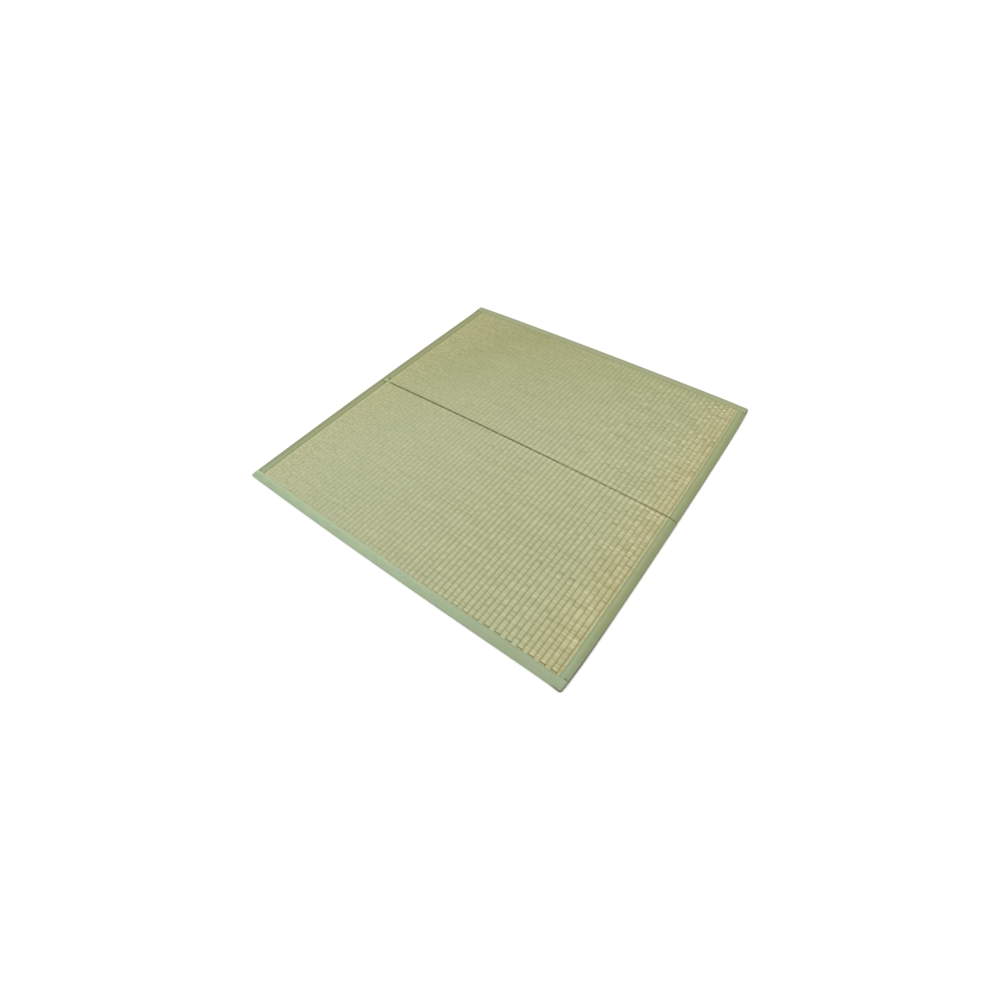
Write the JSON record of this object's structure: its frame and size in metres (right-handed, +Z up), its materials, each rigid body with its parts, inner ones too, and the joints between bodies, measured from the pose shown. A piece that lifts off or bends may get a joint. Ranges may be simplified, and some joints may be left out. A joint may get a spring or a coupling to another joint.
{
  "type": "folding rush tatami mat",
  "caption": "Square flat woven rush floor mat with raised ribs, a fold line across its middle and green cloth bindings on all its edges.",
  "frame": {"origin": "middle of the flat underside, on the floor", "axes": "+X along the fold line and the rush stalks, +Y from the front edge to the back edge along the ribs, +Z up out of the walking face"},
  "size_m": [1.7676, 1.7676, 0.006],
  "materials": {
    "rush": "matte woven rush",
    "end_cloth": "matte plain weave",
    "side_cloth": "matte plain weave"
  },
  "bodies": {
    "root": {"rush_sheet": "rush", "binding_front": "end_cloth", "binding_back": "end_cloth", "binding_left": "side_cloth", "binding_right": "side_cloth"}
  },
  "joints": []
}
